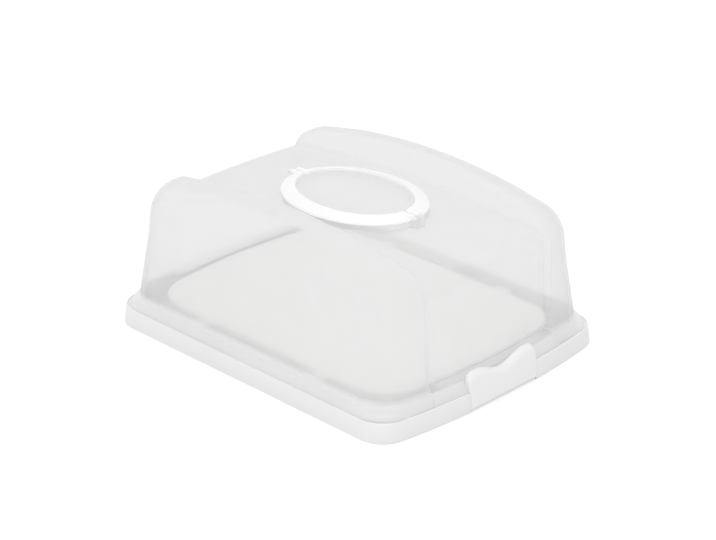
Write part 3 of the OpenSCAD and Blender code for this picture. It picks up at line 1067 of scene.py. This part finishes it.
    def _valley(self, p: Vector) -> Vector:
        """Where a point of the blank goes on the valley's form.

        Args:
            p: A point of the blank, between the ridges.

        Returns:
            Its place on the valley's floor, shoulder, end wall or shelf.
        """
        level = self.top - self.edge
        flat_x = self.half_length - self.edge
        flat_v = self.valley_end - self.valley_shoulder
        if p.z > level - 1e-6:
            if abs(p.x) <= flat_x:
                x, up = abs(p.x) * flat_v / flat_x, self.valley_shoulder
            else:
                turn = math.atan2(abs(p.x) - flat_x, p.z - level)
                x = flat_v + self.valley_shoulder * math.sin(turn)
                up = self.valley_shoulder * math.cos(turn)
            z = self.valley_top - self.valley_shoulder + up - sagitta(self.valley_arch, x)
        elif p.z > self.shelf + 1e-6:
            low = self.shelf + self.step
            share = max(0.0, (p.z - low) / (level - low))
            head = self.valley_top - self.valley_shoulder
            head -= sagitta(self.valley_arch, self.valley_end)
            x = self.valley_end + 2 * MM * (1 - share)
            z = self.shelf + (head - self.shelf) * share
        else:
            x = self.foot_x - 0.6 * MM * (p.z - self.foot) / (self.shelf - self.foot)
            z = p.z
        x -= self._bow(p.x, p.y)
        return Vector((math.copysign(x, p.x), p.y, z))

    def _shape(self, bench: Bench) -> None:
        """Arch the ridges, sink the valley between them and mark the creases that are rounded."""
        near = self.valley_half + self.valley_lean

        def place(p: Vector) -> Vector:
            """Where each point of the blank goes."""
            if abs(p.y) < self.valley_half + 0.1 * MM:
                return self._valley(p)
            new = self._ridge(p)
            if abs(p.y) < near + 0.1 * MM:
                rise = max(0.0, new.z - self.valley_top) / (self.top - self.valley_top)
                y = self.valley_half + 0.5 * MM + (self.valley_lean - 0.5 * MM) * rise
                new.y = math.copysign(y, p.y)
            return new

        grid = bench.mesh()
        weight = grid.edges.layers.float.new("bevel_weight_edge")
        for edge in grid.edges:
            a, b = (abs(vertex.co.y) for vertex in edge.verts)
            if abs(a - b) > 1e-6 or min(v.co.z for v in edge.verts) < self.shelf + 1e-6:
                continue
            if abs(a - near) < 1e-5:
                edge[weight] = 1.0
            if abs(a - self.valley_half) < 1e-5:
                edge[weight] = self.inner_crease
        bmesh.update_edit_mesh(bench.object.data)
        bench.warp(place)
        bench.modify(
            "BEVEL", width=self.crease, segments=self.crease_segments, limit_method="WEIGHT"
        )

    def _flare(self, bench: Bench) -> None:
        """Draw the flange out of the foot, ring by ring."""
        bench.edit()
        bench.pick_edges(lambda a, b: max(a.z, b.z) < self.foot + 0.01 * MM)
        bench.draw((self.foot_x, self.foot_y), self.flange, 0.0, self.foot).outwards()
        if sum(face.normal.z * face.calc_area() for face in bench.mesh().faces) < 0:
            bpy.ops.mesh.flip_normals()

    def _open(self, bench: Bench) -> None:
        """Cut the flange back at the clip and the hinge, and open the floor under the pedestal."""
        low_z = self.flange[-1][1] - self.wall
        near, top = self.foot_x + 0.05 * MM, self.foot - 0.05 * MM
        corner = (near, -self.clip_gap, low_z)
        bench.combine(Bench.block("clip_room", corner, (self.room, self.clip_gap, top)), Cut.AWAY)
        far, top = self.hinge.x + self.hinge.radius + 0.5 * MM, self.foot - self.wall
        corner = (-self.room, -self.hinge_gap, low_z)
        bench.combine(Bench.block("hinge_room", corner, (far, self.hinge_gap, top)), Cut.AWAY)
        a, b = self.pedestal
        hole = Bench.outline("hole", oval(a - 1.5 * MM, b - 1.5 * MM), self.valley_top - 8 * MM)
        hole.rise(16 * MM)
        bench.combine(hole.outwards(), Cut.AWAY)

    def _lip(self) -> Bench:
        """The lip that drops inside the tray's rim, a closed ring."""
        plan = BowedRectangle(2 * self.foot_x, 2 * self.foot_y, self.foot_corner, self.end_radius)
        ring = Bench.outline("lip", plan.points(0.05 * MM), self.lip, filled=False)
        ring.pull(self.foot - self.lip - 1.5 * MM)
        bpy.ops.mesh.select_all(action="SELECT")
        bpy.ops.mesh.normals_make_consistent(inside=False)
        ring.thicken(self.wall - 0.1 * MM)
        return ring.round_edges(0.4 * MM, 2, 60.0).smooth()

    def _pedestal(self) -> Bench:
        """The oval pedestal under the ring and the plate that rises inside it, as one thin cup."""
        a, b = self.pedestal
        low = self.valley_top - 2.5 * MM
        edge, fillet, rim = 0.6 * MM, 0.4 * MM, 0.8 * MM
        groove = a - self.plate[0]
        rise = self.plate_top - self.pedestal_top
        cup = Bench.outline("pedestal", oval(a, b), low)
        cup.rise(self.pedestal_top - edge - low)
        cup.walk(rounding(edge, 0, 90, 3))
        cup.walk([(groove - edge - fillet, 0.0), (fillet, fillet), (0.0, rise - fillet - rim)])
        cup.walk(rounding(rim, 0, 90, 3))
        cup.pick_level(low)
        cup.walk([(self.wall, 0.0), (0.0, low + self.wall - self.pedestal_top)])
        cup.walk([(groove, 0.0), (0.0, -rise)])
        return cup.outwards().smooth()

    def _ears(self) -> list[Bench]:
        """The two ears at each end of the pedestal, which hold the handle's stubs."""
        near, far = self.ear_x
        y, z = self.pivot
        ears = []
        half, base = y + self.ear_radius, self.valley_top - 2.5 * MM
        for side in (-1, 1):
            start, end = sorted((side * near, side * far))
            ear = Bench.block("ear", (start, -half, base), (end, half, z + self.ear_radius))
            ear.pick_edges(lambda a, b: abs(a.x - b.x) > MM and min(a.z, b.z) > z)
            bpy.ops.mesh.bevel(offset=self.ear_radius, segments=6, affect="EDGES")
            ends = side * (self.pedestal[0] - 2.0 * MM), side * near + side * 0.5 * MM
            inner, outer = sorted(ends)
            low, high = (inner, -half, base + 0.3 * MM), (outer, half, self.pedestal_top - 0.6 * MM)
            ear.combine(Bench.block("web", low, high), Cut.JOIN)
            ears.append(ear.round_edges(0.6 * MM, 3, 50.0).smooth())
        return ears

    def _knuckles(self) -> list[Bench]:
        """The lid's own knuckles of the hinge, each on an arm from the foot."""
        x, z, half = self.hinge.x, self.hinge.z, self.wall
        near = -self.foot_x + self.wall / 2
        made = []
        for start, end in self.knuckles:
            arm = Bench.block("arm", (x, start, z - half), (near, end, z + half))
            made.append(self.hinge.knuckle(arm, start, end).smooth())
        return made


@dataclass
class Handle(SubAssembly):
    """The white oval ring, in two halves that fold up to meet."""

    outer: Step = (88.0 * MM, 67.0 * MM)
    band: float = 16.0 * MM
    under: float = 156.31 * MM
    rise: float = 6.1 * MM
    edge: float = 1.4 * MM
    pivot: Step = (3.9 * MM, 159.21 * MM)
    barrel: float = 2.9 * MM
    stub: float = 1.5 * MM
    barrel_end: float = 89.3 * MM
    stub_end: float = 93.2 * MM

    def build(self) -> list[bpy.types.Object]:
        """Model one half, and copy it for the other."""
        front = self._half("handle_front")
        rear = front.copy("handle_rear").mirror(Axis.Y)
        rear.smooth()
        finish = self.finishes.handle
        return [
            self.dress(front, finish, "handle_front", ["handle_front"]),
            self.dress(rear, finish, "handle_rear", ["handle_rear"]),
        ]

    def _ring(self) -> Bench:
        """The whole band, drawn round the oval ring by ring and closed on itself."""
        a, b = self.outer
        band = self.band
        ring = Bench.outline("handle_front", oval(a, b, 128), self.under, filled=False)
        low, high = self.under, self.under + self.rise
        slope = (self.rise - self.edge) / band
        profile = [
            (0.0, low + 0.5 * MM),
            (0.4 * MM, low + 1.2 * MM),
            (1.4 * MM, low + 2.0 * MM),
            (3.2 * MM, low + 2.8 * MM),
            (band * 0.4, low + self.edge + slope * band * 0.4 + 0.6 * MM),
            (band * 0.65, low + self.edge + slope * band * 0.65 + 0.7 * MM),
            (band * 0.82, high - 0.35 * MM),
            (band - 1.4 * MM, high - 0.1 * MM),
            (band - 0.7 * MM, high),
            (band - 0.2 * MM, high - 0.25 * MM),
            (band, high - 0.9 * MM),
            (band, low),
        ]
        ring.draw(self.outer, [(-inward, height) for inward, height in profile], 0.0, low)
        ring.pick_edges(lambda p, q: max(p.z, q.z) < low + 1e-6 and not self._spoke(p, q))
        bpy.ops.mesh.bridge_edge_loops()
        return ring.outwards()

    @staticmethod
    def _spoke(p: Vector, q: Vector) -> bool:
        """Whether an edge runs across the band rather than round it."""
        return abs(p.xy.length - q.xy.length) > 5 * MM

    def _half(self, name: str) -> Bench:
        """One half of the ring with its barrels and stubs.

        Args:
            name: Name of the piece.

        Returns:
            The half on the -Y side.
        """
        y, z = self.pivot
        a = self.outer[0]
        ring = self._ring()
        bpy.ops.mesh.select_all(action="SELECT")
        bpy.ops.mesh.bisect(
            plane_co=(0.0, -y, 0.0), plane_no=Axis.Y.value, use_fill=True, clear_outer=True
        )
        ring.round_edges(0.3 * MM, 2, 50.0).smooth()
        inner = a - self.band
        pins = []
        for side in (-1, 1):
            start = inner if side > 0 else -self.barrel_end
            barrel = Bench.rod(
                "barrel", Axis.X, (start, -y, z), self.barrel_end - inner, self.barrel
            )
            pins.append(barrel.round_edges(0.3 * MM, 2, 50.0).smooth())
            reach = self.stub_end - self.barrel_end + MM
            start = self.barrel_end - MM if side > 0 else -self.stub_end
            pins.append(Bench.rod("stub", Axis.X, (start, -y, z), reach, self.stub, 24).smooth())
        ring.add(*pins)
        ring.object.name = name
        return ring


@dataclass
class Clip(SubAssembly):
    """The end clip: a bowed face with two wings and a finger scoop, on a barrel along its foot."""

    half_width: float = 50.0 * MM
    top: float = 41.0 * MM
    scoop: float = 9.0 * MM
    scoop_half: float = 36.0 * MM
    wing_corner: float = 8.0 * MM
    back: float = 204.4 * MM
    face: float = 215.0 * MM
    end_radius: float = 939.0 * MM
    lean: float = 1.7 / 21.3
    foot: float = 1.0 * MM
    wall: float = 2.4 * MM
    pivot: Step = (210.0 * MM, 5.3 * MM)
    barrel: float = 3.2 * MM
    swing: float = 4.3 * MM
    stub: float = 1.8 * MM
    stub_end: float = 53.7 * MM
    lip: float = 25.0 * MM
    brow: float = 5.5 * MM
    hollow: float = 1.4 * MM
    columns: int = 44
    rows: int = 22

    def build(self) -> bpy.types.Object:
        """Model and dress the clip."""
        bench = self._head()
        self._hollow(bench)
        bench.round_edges(0.8 * MM, 3, 40.0).smooth()
        x, z = self.pivot
        width = 2 * self.half_width
        barrel = Bench.rod("barrel", Axis.Y, (x, -self.half_width, z), width, self.barrel)
        stubs = Bench.rod("stubs", Axis.Y, (x, -self.stub_end, z), 2 * self.stub_end, self.stub, 24)
        bench.add(barrel.round_edges(0.3 * MM, 2, 50.0).smooth(), stubs.smooth())
        return self.dress(bench, self.finishes.clip, "clip", ["end_clip"])

    def _edge(self, y: float) -> float:
        """Height of the clip's upper edge at y."""
        reach = abs(y)
        high = self.top
        if reach < self.scoop_half:
            high -= self.scoop * (1 + math.cos(math.pi * y / self.scoop_half)) / 2
        over = reach - (self.half_width - self.wing_corner)
        if over > 0:
            high -= sagitta(self.wing_corner, min(over, self.wing_corner))
        return high

    def _front(self, y: float, z: float) -> float:
        """Where the clip's face stands at y and z, flush with the skirt."""
        return self.face - sagitta(self.end_radius, y) - self.lean * z

    def _head(self) -> Bench:
        """A grid laid as the clip's upright plate, thickened towards the lid."""
        Bench.clear()
        bpy.ops.mesh.primitive_grid_add(
            x_subdivisions=self.columns, y_subdivisions=self.rows, size=2
        )
        bench = Bench("end_clip")
        bench.edit()

        def lay(p: Vector) -> Vector:
            """Where a point of the grid goes on the plate's back."""
            y = self.half_width * math.sin(p.x * math.pi / 2)
            share = (1 + math.sin(p.y * math.pi / 2)) / 2
            return Vector((self.back, y, self.foot + (self._edge(y) - self.foot) * share))

        bench.warp(lay)
        bpy.ops.mesh.select_all(action="SELECT")
        depth = self.face - self.back
        bpy.ops.mesh.extrude_region_move(TRANSFORM_OT_translate={"value": (depth, 0.0, 0.0)})

        def face(p: Vector) -> Vector:
            """Bow the face, round its upper edge and tuck its foot in round the barrel."""
            if p.x < self.face - 1e-6:
                return p
            over = max(0.0, p.z - self._edge(p.y) + self.brow)
            x = self._front(p.y, p.z) - self.brow + math.sqrt(max(0.0, self.brow**2 - over**2))
            px, pz = self.pivot
            if p.z < pz:
                x = min(x, px + math.sqrt(max(0.0, self.swing**2 - (p.z - pz) ** 2)))
            return Vector((x, p.y, p.z))

        bench.warp(face)
        return bench.outwards()

    def _hollow(self, bench: Bench) -> None:
        """Leave only the face, the head and the end ribs of the plate."""
        x, z = self.pivot
        deep = self.face - self.wall - self.hollow
        low_x = self.back - MM
        reach = self.half_width + MM
        inner = self.half_width - self.wall
        near, high_z = x - self.barrel + 0.3 * MM, self.top - self.scoop - self.wall
        rooms = {
            "behind": ((low_x, -reach, -MM), (near, reach, self.lip)),
            "room": ((low_x, -inner, z + self.barrel), (deep, inner, self.lip)),
            "low_room": ((low_x, -reach, -MM), (x, reach, z)),
            "head_room": (
                (self.back + self.wall, -inner, self.lip - MM),
                (deep - MM, inner, high_z),
            ),
        }
        for name, (low, high) in rooms.items():
            bench.combine(Bench.block(name, low, high), Cut.AWAY)


# ---- The studio ----


@dataclass
class Studio:
    """Floor, light and camera. Angles are in degrees, lens and sensor in millimetres."""

    azimuth: float = 44.65
    elevation: float = 25.13
    distance: float = 2.31632
    lens: float = 108.14
    aim_right: float = 0.00347
    aim_up: float = 0.06388
    world_light: float = 0.865
    floor_glow: float = 0.3
    floor_grey: float = 0.8
    lamp_aim: Point = (0.0, 0.0, 0.1)
    lamps: tuple[tuple[str, Point, float, float], ...] = (
        ("overhead", (-0.5, 0.5, 2.2), 1.8, 6.5),
        ("front", (1.3, -2.1, 1.6), 1.4, 12.0),
    )

    def build(self) -> None:
        """Set up everything that isn't the carrier."""
        self._view()
        self._camera()
        self._floor()
        self._world()
        for name, place, size, power in self.lamps:
            self._lamp(name, place, size, power)

    def _view(self) -> None:
        """Plain colours, and enough bounces for light to cross the frosted walls."""
        scene = bpy.context.scene
        scene.view_settings.view_transform = "Standard"
        scene.cycles.transparent_max_bounces = 24
        scene.cycles.diffuse_bounces = 8
        scene.cycles.max_bounces = 16

    def _camera(self) -> None:
        """The camera at the photograph's angle."""
        turn, tilt = math.radians(self.azimuth), math.radians(self.elevation)
        level = math.cos(tilt)
        back = Vector((math.sin(turn) * level, -math.cos(turn) * level, math.sin(tilt)))
        right = Vector((math.cos(turn), math.sin(turn), 0.0))
        up = back.cross(right)
        aim = right * self.aim_right + up * self.aim_up
        data = bpy.data.cameras.new("camera")
        data.lens = self.lens
        data.sensor_width = 36.0
        data.clip_end = 50.0
        camera = bpy.data.objects.new("camera", data)
        camera.location = aim + back * self.distance
        camera.rotation_euler = (math.pi / 2 - tilt, 0.0, turn)
        bpy.context.collection.objects.link(camera)
        bpy.context.scene.camera = camera

    def _floor(self) -> None:
        """A wide white floor that shows only the contact shadow."""
        Bench.clear()
        bpy.ops.mesh.primitive_plane_add(size=12.0, location=(0.0, 0.0, 0.0))
        floor = bpy.context.object
        floor.name = "floor"
        shader = Shader.named("floor_paper")
        path = shader.node("ShaderNodeLightPath")
        seen = path["Is Camera Ray"] + path["Is Glossy Ray"] + path["Is Transmission Ray"]
        grey = (self.floor_grey, self.floor_grey, self.floor_grey, 1.0)
        diffuse = shader.node("ShaderNodeBsdfDiffuse", None, {"Color": grey})["BSDF"]
        values = {"Color": WHITE, "Strength": self.floor_glow * seen}
        glow = shader.node("ShaderNodeEmission", None, values)["Emission"]
        both = shader.node("ShaderNodeAddShader", None, {0: diffuse, 1: glow})["Shader"]
        floor.data.materials.append(shader.close(both))

    def _world(self) -> None:
        """A white surround that lights softly."""
        world = bpy.data.worlds.new("surround")
        bpy.context.scene.world = world
        shader = Shader(world)
        seen = shader.node("ShaderNodeLightPath")["Is Camera Ray"]
        strength = shader.node("ShaderNodeMix", None, {0: seen, 2: self.world_light, 3: 1.0})[0]
        values = {"Color": WHITE, "Strength": strength}
        light = shader.node("ShaderNodeBackground", None, values)["Background"]
        shader.node("ShaderNodeOutputWorld", None, {"Surface": light})

    def _lamp(self, name: str, place: Point, size: float, power: float) -> None:
        """A square soft box that faces the carrier.

        Args:
            name: Its name.
            place: Where it hangs.
            size: Its side.
            power: Its power in watts.
        """
        data = bpy.data.lights.new(name, "AREA")
        data.size = size
        data.energy = power
        lamp = bpy.data.objects.new(name, data)
        lamp.location = place
        away = Vector(self.lamp_aim) - Vector(place)
        lamp.rotation_euler = away.to_track_quat("-Z", "Y").to_euler()
        bpy.context.collection.objects.link(lamp)


def finish_pin(finishes: Finishes) -> None:
    """Give the hinge's pin, which keeps its CAD solid, its drawn steel."""
    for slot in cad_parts["hinge_pin"].material_slots:
        slot.material = finishes.pin.material()


def main() -> None:
    """Build the studio and the carrier."""
    logging.basicConfig(level=logging.INFO, format="%(name)s: %(message)s")
    finishes = Finishes()
    Studio().build()
    for kind in (Tray, Insert, Dome, Handle, Clip):
        LOG.info("building %s", kind.__name__)
        kind(finishes).build()
    finish_pin(finishes)


if __name__ == "__main__":
    main()
